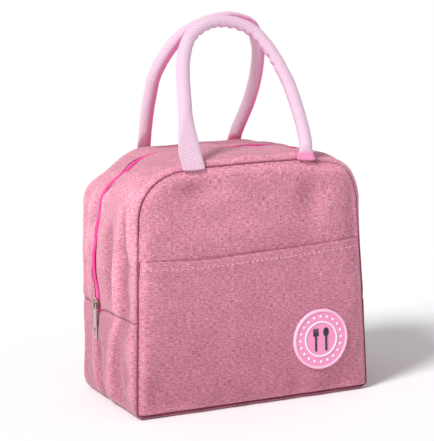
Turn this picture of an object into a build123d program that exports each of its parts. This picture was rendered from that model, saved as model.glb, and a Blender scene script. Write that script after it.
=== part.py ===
"""Insulated lunch bag: a soft box of cloth, foam and foil with a zipped mouth, a front pocket and two handles.

Frame: millimetres, +Z up, front towards -Y, origin on the floor under the middle of the bag.

Every wall is three layers: cloth outside, foam, then foil lining. The front and back are flat panels of one outline.
Between them runs a gusset: base, two side panels, and above those the two zip gussets, one each side of the zip.
The mouth opens by folding the top halves outwards at the height of the zip's ends, so the front and back
panels are each made as a lower and an upper piece that meet at that fold.
"""

from build123d import *
from functools import cache
from math import asin, cos, sin
import os

# Outline of the front and back panels
WIDTH = 210.0  # at the floor
DEPTH = 120.0  # over the front and back cloth
HEIGHT = 201.0  # at the middle of the top edge
TOP_WIDTH = 195.0  # where the sloping sides would meet the top edge
SHOULDER = 196.5  # height of the top edge at those corners
TOP_RADIUS = 38.0
BOTTOM_RADIUS = 7.0

# The gusset stands out between the panels, most of all at the zip
SIDE_CROWN = 11.0
TOP_CROWN = 4.0
ZIP_Y = 16.0  # the zip lies a little behind the middle
ZIP_LAND = 6.0  # each side of the zip the gusset is level

# Layers of a wall, from the outside in
CLOTH = 0.8
FOAM = 3.0
FOIL = 0.4
BINDING = 0.8
BINDING_WIDTH = 8.0

# The fold of the mouth, and the front pocket
FOLD = 76.0
GAP = 0.3  # between pieces that part when the mouth opens
POCKET_TOP = 128.5
POCKET_SLACK = 0.9
POCKET_SEAM = 4.0
HEM = 11.0
HEM_THICKNESS = 0.7

# Zip
CLOTH_TO_ZIP = 5.0  # from the zip's centre line to the cloth's edge
FOAM_TO_ZIP = 15.0
FOIL_TO_ZIP = 7.0
TAPE = 0.6
COIL_WIDTH = 2.4
COIL_HEIGHT = 1.5
HALF_PITCH = 0.6  # from the centre line to each coil and tape
SLIDER_LENGTH = 9.5
SLIDER_CLEARANCE = 0.3
STOP = 1.6

# Slider and pull
PLATE = 1.1
PLATE_OVERHANG = 0.9  # beyond the coils
BRIDGE_SPAN = 7.0
BRIDGE_RISE = 2.7
BRIDGE_BAR = 1.0
BRIDGE_WIDTH = 2.0
PULL_WIDTH = 6.2
PULL_THICKNESS = 1.0
PULL_LENGTH = 31.0  # below its pivot
EYE_WIDTH = 2.8
EYE_LENGTH = 4.4
SLOT_WIDTH = 2.8
SLOT_LENGTH = 7.5

# Handles
HANDLE_X = 49.0
PIVOT_OUT = 1.0  # in front of the panel
PIVOT_Z = 201.6
WEBBING_WIDTH = 20.0
WEBBING = 2.2
ROLL = 11.6  # across the folded grip
GRIP_START = 34.0
LEG_START = 1.6
FLAT_END = 12.0
ARCH = 122.0
ARCH_WIDTH = 93.0
ARCH_RADIUS = 44.0
REAR_SKEW = 8.0
STITCH_ROLL = 1.0  # radius of the sewn root that the webbing turns on

# Badge
BADGE_X = 57.5
BADGE_Z = 50.0
BADGE_DIAMETER = 50.0
BADGE = 1.6
BADGE_RELIEF = 0.5
BADGE_RIM = 2.0
BADGE_RING = 14.2
BADGE_LINE = 1.2
BADGE_DOTS = 20
CUTLERY_X = 4.6  # fork to the left, spoon to the right
HEAD_Z = 5.0
STEM_WIDTH = 1.6
STEM_LENGTH = 13.0
STEM_Z = -3.0
FORK_WIDTH = 4.6
FORK_LENGTH = 5.4
TINE_GAP = 0.8
SPOON_RADII = (2.5, 3.8)

FRONT = -DEPTH / 2
BACK = DEPTH / 2
CLOTH_IN = CLOTH
FOAM_IN = CLOTH + FOAM
FOIL_IN = CLOTH + FOAM + FOIL
LAYERS = {"panel": (0.0, CLOTH_IN), "foam": (CLOTH_IN, FOAM_IN), "lining": (FOAM_IN, FOIL_IN)}
POCKET_OUT = FRONT - POCKET_SLACK - CLOTH
FOLD_UP = FOLD + GAP
STOP_TOP = FOLD + STOP
SLIDER_BOTTOM = STOP_TOP + GAP
SLIDER_TOP = SLIDER_BOTTOM + SLIDER_LENGTH
CHAIN_START = SLIDER_TOP + GAP
PLATE_TOP = COIL_HEIGHT - CLOTH_IN + SLIDER_CLEARANCE + PLATE  # above the cloth
PLATE_UNDER = -CLOTH_IN - TAPE - SLIDER_CLEARANCE
FAR = 400.0  # larger than the bag, for cutting blocks

os.makedirs("parts", exist_ok=True)


def save(part, name):
    """Names a finished piece and writes it."""
    part.label = name
    export_step(part, f"parts/{name}.step")


def outline(y, inset, crown):
    """The bag's outline on the plane at depth y, grown by a share of the crown, then taken in by inset."""
    foot = (WIDTH / 2 - inset, inset)
    shoulder = (TOP_WIDTH / 2 + SIDE_CROWN * crown - inset, SHOULDER + TOP_CROWN * crown - inset)
    middle = (0, HEIGHT + TOP_CROWN * crown - inset)
    with BuildSketch(Plane.XZ.offset(-y)) as face:
        with BuildLine():
            floor = Line((-foot[0], foot[1]), foot)
            right = Line(floor @ 1, shoulder)
            top = ThreePointArc(right @ 1, middle, (-shoulder[0], shoulder[1]))
            Line(top @ 1, floor @ 0)
        make_face()
        fillet(face.vertices().group_by(Axis.Y)[0], BOTTOM_RADIUS - inset)
        fillet(face.vertices().group_by(Axis.Y)[-1], TOP_RADIUS - inset)
    return face.sketch


def plate(y_near, thickness, inset=0.0):
    """A flat sheet of the outline, from y_near towards +Y."""
    face = outline(y_near + thickness, inset, 0.0)
    with BuildPart() as sheet:
        extrude(face, amount=thickness)
    return sheet.part


@cache
def filled(inset):
    """The bag's whole shape, taken in by inset: crowned at the zip and flat at the front and back."""
    sections = ((FRONT, 0.0), (ZIP_Y - ZIP_LAND, 1.0), (ZIP_Y + ZIP_LAND, 1.0), (BACK, 0.0))
    faces = [outline(y, inset, crown) for y, crown in sections]
    with BuildPart() as block:
        loft(faces, ruled=True)
    return block.part


def band(y_from, y_to, inset_out, inset_in):
    """A layer of the gusset: a closed strip that follows the outline from y_from to y_to."""
    outside = filled(inset_out)
    inside = filled(inset_in)
    with BuildPart() as strip:
        add(outside)
        add(inside, mode=Mode.SUBTRACT)
        with Locations((0, (y_from + y_to) / 2, 0)):
            Box(FAR, y_to - y_from, 2 * FAR, mode=Mode.INTERSECT)
    return strip.part


def between(part, z_low=-FAR, z_high=FAR, x_low=-FAR, x_high=FAR):
    """What of a part lies between two heights and two widths."""
    with BuildPart() as kept:
        add(part)
        with Locations(((x_low + x_high) / 2, 0, (z_low + z_high) / 2)):
            Box(x_high - x_low, FAR, z_high - z_low, mode=Mode.INTERSECT)
    return kept.part


def base_wedge():
    """Everything below the two mitres that run at 45 degrees through the bottom corners."""
    rise = 30.0
    half = WIDTH / 2
    with BuildPart() as wedge:
        with BuildSketch(Plane.XZ.offset(-FAR / 2)):
            with BuildLine():
                Polyline(
                    (-half - rise, -rise),
                    (half + rise, -rise),
                    (half - rise, rise),
                    (-half + rise, rise),
                    close=True,
                )
            make_face()
        extrude(amount=FAR)
    return wedge.part


def make_flat_walls():
    """Front and back walls: cloth, foam and lining sheets, each in a lower and an upper piece."""
    for side, face, inward in (("front", FRONT, 1), ("back", BACK, -1)):
        for layer, (start, end) in LAYERS.items():
            near = face + start if inward > 0 else face - end
            sheet = plate(near, end - start, inset=start)
            save(between(sheet, z_high=FOLD), f"{side}_{layer}_lower")
            save(between(sheet, z_low=FOLD_UP), f"{side}_{layer}_upper")


def make_lower_gusset():
    """Base and side walls below the fold, mitred at the bottom corners."""
    wedge = base_wedge()
    for layer, (start, end) in LAYERS.items():
        ring = band(FRONT + end, BACK - end, start, end)
        with BuildPart() as base:
            add(ring)
            add(wedge, mode=Mode.INTERSECT)
        save(base.part, f"base_{layer}")
        with BuildPart() as walls:
            add(between(ring, z_high=FOLD))
            add(wedge, mode=Mode.SUBTRACT)
        save(between(walls.part, x_high=0), f"left_side_{layer}")
        save(between(walls.part, x_low=0), f"right_side_{layer}")


def make_zip_gussets():
    """The two arched strips above the fold, one each side of the zip."""
    for side, face, away in (("front", FRONT, -1), ("rear", BACK, 1)):
        for layer, (start, end) in LAYERS.items():
            panel_edge = face - away * end
            if layer == "panel":
                strips = [(panel_edge, ZIP_Y + away * CLOTH_TO_ZIP, start, end)]
            elif layer == "foam":
                strips = [(panel_edge, ZIP_Y + away * FOAM_TO_ZIP, start, end)]
            else:
                turn = ZIP_Y + away * FOAM_TO_ZIP
                step = turn - away * FOIL
                strips = [
                    (panel_edge, turn, start, end),
                    (turn, step, CLOTH_IN + TAPE, end),
                    (step, ZIP_Y + away * FOIL_TO_ZIP, CLOTH_IN + TAPE, CLOTH_IN + TAPE + FOIL),
                ]
            strips = [band(min(a, b), max(a, b), outer, inner) for a, b, outer, inner in strips]
            with BuildPart() as gusset:
                add(strips)
            name = "zip_gusset" if layer == "panel" else f"zip_gusset_{layer}"
            save(between(gusset.part, z_low=FOLD_UP), f"{side}_{name}")


def make_seam_bindings():
    """Tape that covers the raw seam between each flat wall and the gusset, inside the bag."""
    width = FOIL_IN + BINDING_WIDTH
    for side, y_a, y_b in (("front", FRONT + FOIL_IN, FRONT + width), ("back", BACK - width, BACK - FOIL_IN)):
        tape = band(y_a, y_b, FOIL_IN, FOIL_IN + BINDING)
        save(between(tape, z_high=FOLD), f"{side}_binding_lower")
        save(between(tape, z_low=FOLD_UP), f"{side}_binding_upper")


def make_pocket():
    """Front pocket: a cloth sheet held off the panel by its sewn edge, with a turned hem along its mouth."""
    sheet = plate(POCKET_OUT, CLOTH)
    seam = plate(POCKET_OUT + CLOTH, POCKET_SLACK)
    opening = plate(POCKET_OUT + CLOTH, POCKET_SLACK, inset=POCKET_SEAM)
    turned = between(plate(POCKET_OUT + CLOTH, HEM_THICKNESS, inset=POCKET_SEAM), z_low=POCKET_TOP - HEM)
    with BuildPart() as pocket:
        add(seam)
        add(opening, mode=Mode.SUBTRACT)
        add(sheet)
        add(turned)
    save(between(pocket.part, z_high=FOLD), "pocket_lower")
    save(between(pocket.part, z_low=FOLD_UP, z_high=POCKET_TOP), "pocket_upper")


def zip_row(away, y_reach, outer, inner):
    """One strip of the zip, from its centre line out to y_reach."""
    y_a = ZIP_Y + away * HALF_PITCH
    y_b = ZIP_Y + away * y_reach
    return band(min(y_a, y_b), max(y_a, y_b), outer, inner)


def make_zip_chain():
    """Tape and coil each side of the zip, and the two sewn ends with their stops."""
    tape_layer = (CLOTH_IN, CLOTH_IN + TAPE)
    coil_layer = (CLOTH_IN - COIL_HEIGHT, CLOTH_IN)
    coil_reach = HALF_PITCH + COIL_WIDTH
    end_reach = CLOTH_TO_ZIP - GAP
    for side, away in (("front", -1), ("rear", 1)):
        tape = zip_row(away, FOAM_TO_ZIP, *tape_layer)
        coil = zip_row(away, coil_reach, *coil_layer)
        save(between(tape, z_low=CHAIN_START), f"{side}_zip_tape")
        save(between(coil, z_low=CHAIN_START), f"{side}_zip_coil")
    stop = band(ZIP_Y - coil_reach, ZIP_Y + coil_reach, CLOTH_IN - COIL_HEIGHT, CLOTH_IN + TAPE)
    rows = [zip_row(away, end_reach, *tape_layer) for away in (-1, 1)]
    rows += [zip_row(away, coil_reach, *coil_layer) for away in (-1, 1)]
    for name, x_low, x_high in (("left_zip_end", -FAR, 0), ("right_zip_end", 0, FAR)):
        stubs = [between(row, FOLD, SLIDER_TOP, x_low, x_high) for row in rows]
        crossing = between(stop, FOLD, STOP_TOP, x_low, x_high)
        with BuildPart() as end:
            add(stubs)
            add(crossing)
        save(end.part, name)


def slider_plane():
    """On the left side's cloth at the zip, halfway up the slider: local x to the front, y up the zip, z outwards."""
    foot = Vector(-WIDTH / 2, ZIP_Y, 0)
    shoulder = Vector(-TOP_WIDTH / 2 - SIDE_CROWN, ZIP_Y, SHOULDER + TOP_CROWN)
    up = (shoulder - foot).normalized()
    centre = foot + up * ((SLIDER_BOTTOM + SLIDER_TOP) / 2 / up.Z)
    outwards = Vector(0, -1, 0).cross(up)
    return Plane(origin=centre, x_dir=(0, -1, 0), z_dir=outwards)


def make_slider():
    """Zip slider: two plates joined by a thin post between the coils, and a bridge that holds the pull."""
    face = slider_plane()
    width = 2 * (HALF_PITCH + COIL_WIDTH + PLATE_OVERHANG)
    half_span = BRIDGE_SPAN / 2
    top = PLATE_TOP + BRIDGE_RISE
    side_view = Plane(face.origin, x_dir=face.y_dir, z_dir=face.x_dir)
    with BuildPart() as slider:
        with BuildSketch(face.offset(PLATE_TOP - PLATE)):
            SlotOverall(SLIDER_LENGTH, width, rotation=90)
        extrude(amount=PLATE)
        with BuildSketch(face.offset(PLATE_UNDER - PLATE)):
            SlotOverall(SLIDER_LENGTH, width - 1, rotation=90)
        extrude(amount=PLATE)
        with BuildSketch(face.offset(PLATE_UNDER)):
            with Locations((0, -SLIDER_LENGTH / 5)):
                Rectangle(HALF_PITCH, SLIDER_LENGTH / 3)
        extrude(amount=PLATE_TOP - PLATE - PLATE_UNDER)
        with BuildSketch(side_view):
            with BuildLine():
                Polyline(
                    (-half_span, PLATE_TOP - 0.2),
                    (-half_span + 0.6, top),
                    (half_span - 0.6, top),
                    (half_span, PLATE_TOP - 0.2),
                    (half_span - BRIDGE_BAR, PLATE_TOP - 0.2),
                    (half_span - BRIDGE_BAR - 0.5, top - BRIDGE_BAR),
                    (-half_span + BRIDGE_BAR + 0.5, top - BRIDGE_BAR),
                    (-half_span + BRIDGE_BAR, PLATE_TOP - 0.2),
                    close=True,
                )
            make_face()
        extrude(amount=BRIDGE_WIDTH / 2, both=True)
    save(slider.part, "zip_slider")


def pull_pivot():
    """Where the pull's bar crosses under the bridge."""
    face = slider_plane()
    return face.origin + face.z_dir * (PLATE_TOP + (BRIDGE_RISE - BRIDGE_BAR) / 2)


def make_pull():
    """Pull: a flat tab that hangs straight down, with an eye round the bridge and a slot near its tip."""
    hanging = Plane(pull_pivot(), x_dir=(0, -1, 0), z_dir=(-1, 0, 0))
    eye_bar = PULL_THICKNESS
    with BuildPart() as pull:
        with BuildSketch(hanging.offset(-PULL_THICKNESS / 2)):
            with Locations((0, (eye_bar / 2 - PULL_LENGTH) / 2)):
                RectangleRounded(PULL_WIDTH, PULL_LENGTH + eye_bar / 2, 0.9 * eye_bar)
            with Locations((0, -eye_bar / 2 - EYE_LENGTH / 2)):
                Rectangle(EYE_WIDTH, EYE_LENGTH, mode=Mode.SUBTRACT)
            with Locations((0, -PULL_LENGTH + 3 + SLOT_LENGTH / 2)):
                RectangleRounded(SLOT_WIDTH, SLOT_LENGTH, 0.8, mode=Mode.SUBTRACT)
        extrude(amount=PULL_THICKNESS)
        corner_edges = pull.edges().filter_by(Axis.Y).group_by(Axis.Z)[-1]
        fillet(corner_edges, 0.45 * eye_bar)
    save(pull.part, "zip_pull")


def handle_plane(side):
    """The plane a handle rests in, leaning in until its grip meets the other one over the middle of the bag."""
    pivot_y = side * (BACK + PIVOT_OUT)
    lean = asin((BACK + PIVOT_OUT - ROLL / 2 - GAP) / ARCH)
    up = Vector(0, -side * sin(lean), cos(lean))
    return Plane((0, pivot_y, PIVOT_Z), x_dir=(1, 0, 0), z_dir=Vector(1, 0, 0).cross(up))


def webbing_section(plane, place, run, width, thickness):
    """A cross-section of a handle at a place in its plane, square to the way it runs there."""
    tangent = plane.x_dir * run[0] + plane.y_dir * run[1]
    across = Plane(plane.from_local_coords(place), x_dir=tangent.cross(plane.z_dir), z_dir=tangent)
    with BuildSketch(across) as section:
        RectangleRounded(width, thickness, 0.49 * min(width, thickness))
    return section.sketch


def handle_leg(plane, foot_x, slope):
    """The sections of one leg: straight up from the seam as flat webbing, then drawn together into the grip."""
    halfway = (FLAT_END + GRIP_START) / 2
    upright = (0, 1)
    leaning = (slope, 1)
    places = [(foot_x, LEG_START), (foot_x, FLAT_END)]
    places += [(foot_x + slope * (height - FLAT_END), height) for height in (halfway, GRIP_START)]
    return [
        webbing_section(plane, places[0], upright, WEBBING_WIDTH, WEBBING),
        webbing_section(plane, places[1], upright, WEBBING_WIDTH, WEBBING),
        webbing_section(plane, places[2], leaning, 0.8 * WEBBING_WIDTH, 0.55 * ROLL),
        webbing_section(plane, places[3], leaning, ROLL, ROLL),
    ]


def make_handle(side, skew, name):
    """Carry handle: flat webbing at both ends, folded lengthwise into a round grip over the arch."""
    plane = handle_plane(side)
    left_aim = skew - ARCH_WIDTH / 2
    right_aim = skew + ARCH_WIDTH / 2
    left_slope = (left_aim + HANDLE_X) / (ARCH - FLAT_END)
    right_slope = (right_aim - HANDLE_X) / (ARCH - FLAT_END)
    left_leg = handle_leg(plane, -HANDLE_X, left_slope)
    right_leg = handle_leg(plane, HANDLE_X, right_slope)
    rise = GRIP_START - FLAT_END
    left_end = (-HANDLE_X + left_slope * rise, GRIP_START)
    right_end = (HANDLE_X + right_slope * rise, GRIP_START)
    with BuildPart() as handle:
        with BuildLine(plane) as route:
            FilletPolyline(left_end, (left_aim, ARCH), (right_aim, ARCH), right_end, radius=ARCH_RADIUS)
        grip = route.wire()
        with BuildSketch(Plane(grip @ 0, z_dir=grip % 0)):
            Circle(ROLL / 2)
        sweep()
        loft(left_leg)
        loft(right_leg)
    save(handle.part, name)


def make_handle_ends(side, name):
    """The sewn roots of a handle: where the webbing leaves the top seam, with its stub down to the seam."""
    pivot = (side * (BACK + PIVOT_OUT), PIVOT_Z)
    inner = side * (BACK - CLOTH)
    bag = filled(0.0)
    with BuildPart() as ends:
        for x in (-HANDLE_X, HANDLE_X):
            with BuildSketch(Plane.YZ.offset(x - WEBBING_WIDTH / 2)):
                with Locations(pivot):
                    Circle(STITCH_ROLL)
                with BuildLine():
                    Polyline(
                        (pivot[0], PIVOT_Z + 0.7 * STITCH_ROLL),
                        (inner, PIVOT_Z - 0.5 * STITCH_ROLL),
                        (inner, PIVOT_Z - 4),
                        (side * BACK, PIVOT_Z - 4),
                        close=True,
                    )
                make_face()
            extrude(amount=WEBBING_WIDTH)
        add(bag, mode=Mode.SUBTRACT)
    save(ends.part, name)


def make_badge():
    """Round soft badge on the pocket: a rimmed disc, a ring with a band of dots, and a fork and spoon."""
    face = Plane((BADGE_X, POCKET_OUT, BADGE_Z), x_dir=(1, 0, 0), z_dir=(0, -1, 0))
    radius = BADGE_DIAMETER / 2
    with BuildPart() as base:
        with BuildSketch(face):
            Circle(radius)
        extrude(amount=BADGE)
        with BuildSketch(face.offset(BADGE)):
            Circle(radius)
            Circle(radius - BADGE_RIM, mode=Mode.SUBTRACT)
        extrude(amount=BADGE_RELIEF)
    save(base.part, "badge_base")
    with BuildPart() as rings:
        with BuildSketch(face.offset(BADGE)):
            Circle(BADGE_RING)
            Circle(BADGE_RING - BADGE_LINE, mode=Mode.SUBTRACT)
            with PolarLocations((radius - BADGE_RIM + BADGE_RING) / 2, BADGE_DOTS):
                Circle(BADGE_LINE)
        extrude(amount=BADGE_RELIEF)
    save(rings.part, "badge_rings")
    with BuildPart() as cutlery:
        with BuildSketch(face.offset(BADGE)):
            with Locations((-CUTLERY_X, HEAD_Z)):
                Rectangle(FORK_WIDTH, FORK_LENGTH)
                with Locations((0, FORK_LENGTH / 4)):
                    with GridLocations(FORK_WIDTH / 3, 0, 2, 1):
                        Rectangle(TINE_GAP, FORK_LENGTH, mode=Mode.SUBTRACT)
            with Locations((CUTLERY_X, HEAD_Z)):
                Ellipse(*SPOON_RADII)
            with Locations((-CUTLERY_X, STEM_Z), (CUTLERY_X, STEM_Z)):
                RectangleRounded(STEM_WIDTH, STEM_LENGTH, 0.45 * STEM_WIDTH)
        extrude(amount=BADGE_RELIEF)
    save(cutlery.part, "badge_motif")


if __name__ == "__main__":
    make_flat_walls()
    make_lower_gusset()
    make_zip_gussets()
    make_seam_bindings()
    make_pocket()
    make_zip_chain()
    make_slider()
    make_pull()
    for side, skew, name in ((-1, 0.0, "front_handle"), (1, REAR_SKEW, "rear_handle")):
        make_handle(side, skew, name)
        make_handle_ends(side, f"{name}_ends")
    make_badge()
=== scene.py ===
"""Insulated lunch bag: a padded cloth box with a zipped top, a front pocket, a moulded badge and webbing handles."""

import math
import random

import bmesh
import bpy
from mathutils import Matrix, Vector, geometry, kdtree, noise
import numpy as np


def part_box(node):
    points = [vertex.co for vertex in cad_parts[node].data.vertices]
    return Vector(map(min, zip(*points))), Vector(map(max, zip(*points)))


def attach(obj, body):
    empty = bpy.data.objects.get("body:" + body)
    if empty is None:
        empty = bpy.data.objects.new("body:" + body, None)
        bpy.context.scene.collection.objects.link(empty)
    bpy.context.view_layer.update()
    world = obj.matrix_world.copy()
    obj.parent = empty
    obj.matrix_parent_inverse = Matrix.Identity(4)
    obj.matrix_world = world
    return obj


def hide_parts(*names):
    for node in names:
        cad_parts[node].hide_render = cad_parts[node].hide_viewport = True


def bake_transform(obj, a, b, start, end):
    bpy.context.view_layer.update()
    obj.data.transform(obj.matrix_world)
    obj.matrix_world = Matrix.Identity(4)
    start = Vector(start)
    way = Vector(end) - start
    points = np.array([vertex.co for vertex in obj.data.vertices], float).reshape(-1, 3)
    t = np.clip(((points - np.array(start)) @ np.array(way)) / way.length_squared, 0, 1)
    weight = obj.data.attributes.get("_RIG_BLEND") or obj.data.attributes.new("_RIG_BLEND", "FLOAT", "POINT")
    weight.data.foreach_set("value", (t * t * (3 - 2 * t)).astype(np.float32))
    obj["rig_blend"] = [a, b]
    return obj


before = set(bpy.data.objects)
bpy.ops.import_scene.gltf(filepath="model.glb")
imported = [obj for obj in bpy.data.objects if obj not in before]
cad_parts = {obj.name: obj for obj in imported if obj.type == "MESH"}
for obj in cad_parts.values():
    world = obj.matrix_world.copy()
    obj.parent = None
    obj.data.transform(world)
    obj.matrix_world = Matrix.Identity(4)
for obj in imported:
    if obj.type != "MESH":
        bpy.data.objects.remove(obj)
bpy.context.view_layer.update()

MM = 0.001
scene = bpy.context.scene

# ---------------------------------------------------------------------------------------------------------------
# Camera: a long lens, in front of the bag and to its left, a little above it.
# ---------------------------------------------------------------------------------------------------------------
yaw, lift, roll = 0.4164, 0.1771, -0.0238
aim = Vector((-5.92, -4.88, 145.75)) * MM
camera_distance = 1555 * MM

away = Vector((-math.sin(yaw) * math.cos(lift), -math.cos(yaw) * math.cos(lift), math.sin(lift)))
level = Vector((math.cos(yaw), -math.sin(yaw), 0))
upright = away.cross(level)
right = level * math.cos(roll) + upright * math.sin(roll)
up = upright * math.cos(roll) - level * math.sin(roll)
camera = bpy.data.objects.new("camera", bpy.data.cameras.new("camera"))
scene.collection.objects.link(camera)
camera.matrix_world = Matrix.Translation(aim + away * camera_distance) @ Matrix((right, up, away)).transposed().to_4x4()
camera.data.sensor_fit = "VERTICAL"
camera.data.sensor_height = 36
camera.data.lens = 152
camera.data.clip_end = 100
scene.camera = camera

# ---------------------------------------------------------------------------------------------------------------
# Studio: a pale floor, a soft sun from the upper left and an even white surround.
# ---------------------------------------------------------------------------------------------------------------
floor_mesh = bpy.data.meshes.new("studio_floor")
bm = bmesh.new()
bmesh.ops.create_grid(bm, x_segments=1, y_segments=1, size=30)
bmesh.ops.translate(bm, verts=bm.verts, vec=(0, 0, -0.2 * MM))
bm.to_mesh(floor_mesh)
bm.free()
studio_floor = bpy.data.objects.new("studio_floor", floor_mesh)
scene.collection.objects.link(studio_floor)
floor_paint = bpy.data.materials.new("floor_paint")
floor_paint.use_nodes = True
floor_shader = floor_paint.node_tree.nodes["Principled BSDF"]
floor_shader.inputs["Base Color"].default_value = (0.93, 0.925, 0.93, 1)
floor_shader.inputs["Roughness"].default_value = 0.9
floor_mesh.materials.append(floor_paint)

sun = bpy.data.objects.new("sun", bpy.data.lights.new("sun", "SUN"))
sun.data.energy = 2.75
sun.data.angle = math.radians(16)
sun.rotation_euler = Vector((-0.66, -0.30, 0.72)).to_track_quat("Z", "Y").to_euler()
scene.collection.objects.link(sun)

surround = bpy.data.worlds.new("surround")
surround.use_nodes = True
surround.node_tree.nodes["Background"].inputs["Color"].default_value = (1, 0.99, 0.995, 1)
surround.node_tree.nodes["Background"].inputs["Strength"].default_value = 0.5
scene.world = surround
scene.view_settings.view_transform = "Standard"

# ---------------------------------------------------------------------------------------------------------------
# The bag's form: one closed shell that all the cloth, foam and foil pieces are cut from, so that they meet at
# their seams. Front and back are the same tapered outline, and the gusset runs round between them.
# ---------------------------------------------------------------------------------------------------------------
front_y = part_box("front_panel_upper")[0][1]
back_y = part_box("back_panel_upper")[1][1]
top_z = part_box("front_panel_upper")[1][2]
fold_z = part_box("front_panel_lower")[1][2]
zip_y = (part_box("zip_slider")[0][1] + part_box("zip_slider")[1][1]) / 2
pocket_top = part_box("pocket_upper")[1][2]
seam_z = fold_z + 3 * MM
foot_half = 105 * MM
shoulder_half = 97.5 * MM
arch = 2.5 * MM
shoulder_z = top_z - arch
foot_radius = 7 * MM
shoulder_radius = 38 * MM
FRONT, GUSSET, BACK = 1, 0, 2


def side_line(z):
    """Half width of the sloping side's line at a height, before its corners are rounded."""
    return foot_half + (shoulder_half - foot_half) * z / shoulder_z


def rows_of_outline(line_steps, foot_angles, shoulder_angles):
    """Half width and height of the outline's edge, from the middle of the floor edge round to the top edge."""
    slope = math.atan((foot_half - shoulder_half) / shoulder_z)
    foot = (side_line(foot_radius) - foot_radius / math.cos(slope), foot_radius)
    shoulder_centre_z = shoulder_z - shoulder_radius
    shoulder = (side_line(shoulder_centre_z) - shoulder_radius / math.cos(slope), shoulder_centre_z)
    rows = []
    for degrees in foot_angles:
        angle = math.radians(degrees)
        rows.append((foot[0] + foot_radius * math.cos(angle), foot[1] + foot_radius * math.sin(angle)))
    rows += [(side_line(z), z) for z in line_steps]
    for degrees in shoulder_angles:
        angle = math.radians(degrees)
        rows.append((shoulder[0] + shoulder_radius * math.cos(angle), shoulder[1] + shoulder_radius * math.sin(angle)))
    return rows


def mirrored(steps):
    """Shares from -1 to 1, from the shares of the right half."""
    return [-s for s in reversed(steps) if s > 0] + list(steps)


def build_shell(columns, rows, stations):
    """The closed shell: a grid for the front, its rim drawn back over the stations, and the same grid for the back."""
    shell = bmesh.new()
    nx, nz = len(columns) - 1, len(rows) - 1
    bmesh.ops.create_grid(shell, x_segments=nx, y_segments=nz, size=1)
    region = shell.faces.layers.int.new("region")
    for vert in shell.verts:
        column = round((vert.co.x + 1) / 2 * nx)
        half, z = rows[round((vert.co.y + 1) / 2 * nz)]
        share = columns[column]
        rise = max(0.0, (z - 0.6 * shoulder_z) / (0.4 * shoulder_z))
        vert.co = (share * half, stations[0], z + arch * rise * rise * (1 - share * share))
    front_faces = list(shell.faces)
    for face in front_faces:
        face[region] = FRONT
    rim = [edge for edge in shell.edges if edge.is_boundary]
    back = bmesh.ops.duplicate(shell, geom=shell.verts[:] + shell.edges[:] + shell.faces[:])
    back_verts = [part for part in back["geom"] if isinstance(part, bmesh.types.BMVert)]
    back_faces = [part for part in back["geom"] if isinstance(part, bmesh.types.BMFace)]
    bmesh.ops.translate(shell, verts=back_verts, vec=(0, stations[-1] - stations[0], 0))
    bmesh.ops.reverse_faces(shell, faces=back_faces)
    for face in back_faces:
        face[region] = BACK
    for near, far in zip(stations, stations[1:]):
        drawn = bmesh.ops.extrude_edge_only(shell, edges=rim)["geom"]
        rim = [part for part in drawn if isinstance(part, bmesh.types.BMEdge) and part.is_boundary]
        verts = [part for part in drawn if isinstance(part, bmesh.types.BMVert)]
        bmesh.ops.translate(shell, verts=verts, vec=(0, far - near, 0))
        for part in drawn:
            if isinstance(part, bmesh.types.BMFace):
                part[region] = GUSSET
    bmesh.ops.remove_doubles(shell, verts=shell.verts, dist=0.02 * MM)
    bmesh.ops.recalc_face_normals(shell, faces=shell.faces)
    return shell


def between(low, high, count):
    """Evenly spaced values after low, up to and with high."""
    return [low + (high - low) * (i + 1) / count for i in range(count)]


cloth_to_zip = 3.0 * MM
edge_steps = [0, 0.7 * MM, 1.6 * MM, 3 * MM, 5 * MM, 7.5 * MM, 11 * MM]
stations = [front_y + d for d in edge_steps]
stations += between(stations[-1], zip_y - 9 * MM, 12)
stations += [zip_y - 6 * MM, zip_y - 4.2 * MM, zip_y - cloth_to_zip, zip_y, zip_y + cloth_to_zip, zip_y + 4.2 * MM, zip_y + 6 * MM]
stations += between(zip_y + 6 * MM, back_y - edge_steps[-1], 6) + [back_y - d for d in reversed(edge_steps[:-1])]
columns = mirrored([0] + between(0, 0.88, 18) + [0.905, 0.93, 0.952, 0.97, 0.984, 0.993, 1])
hem = 11 * MM
line_steps = [9 * MM, 12 * MM] + between(12 * MM, seam_z - 3 * MM, 12) + [seam_z - 1.5 * MM, seam_z, seam_z + 1.5 * MM]
line_steps += between(seam_z + 1.5 * MM, pocket_top - hem, 7) + between(pocket_top - hem, pocket_top, 4)
line_steps += between(pocket_top, 158 * MM, 6)
rows = rows_of_outline(line_steps, (-90, -72, -54, -34, -14, 2), (7, 13, 19, 25, 31, 37, 43, 49, 55, 61, 67, 72, 77, 81, 84.5, 87.5, 90))


def step(low, high, value):
    """0 below low, 1 above high, smooth between."""
    t = min(1.0, max(0.0, (value - low) / (high - low)))
    return t * t * (3 - 2 * t)


def bell(value, centre, width):
    """1 at the centre, falling away on both sides."""
    return math.exp(-(((value - centre) / width) ** 2))


def crease(point, start, end, width):
    """How near a point of the left side is to a crease from start to end, each given as (y, z)."""
    a, b, p = Vector(start), Vector(end), Vector((point.y, point.z))
    along = b - a
    t = (p - a).dot(along) / along.length_squared
    gap = (p - a - along * min(1.0, max(0.0, t))).length
    return math.exp(-((gap / width) ** 2)) * step(-0.15, 0.2, t) * (1 - step(0.8, 1.15, t))


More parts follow.
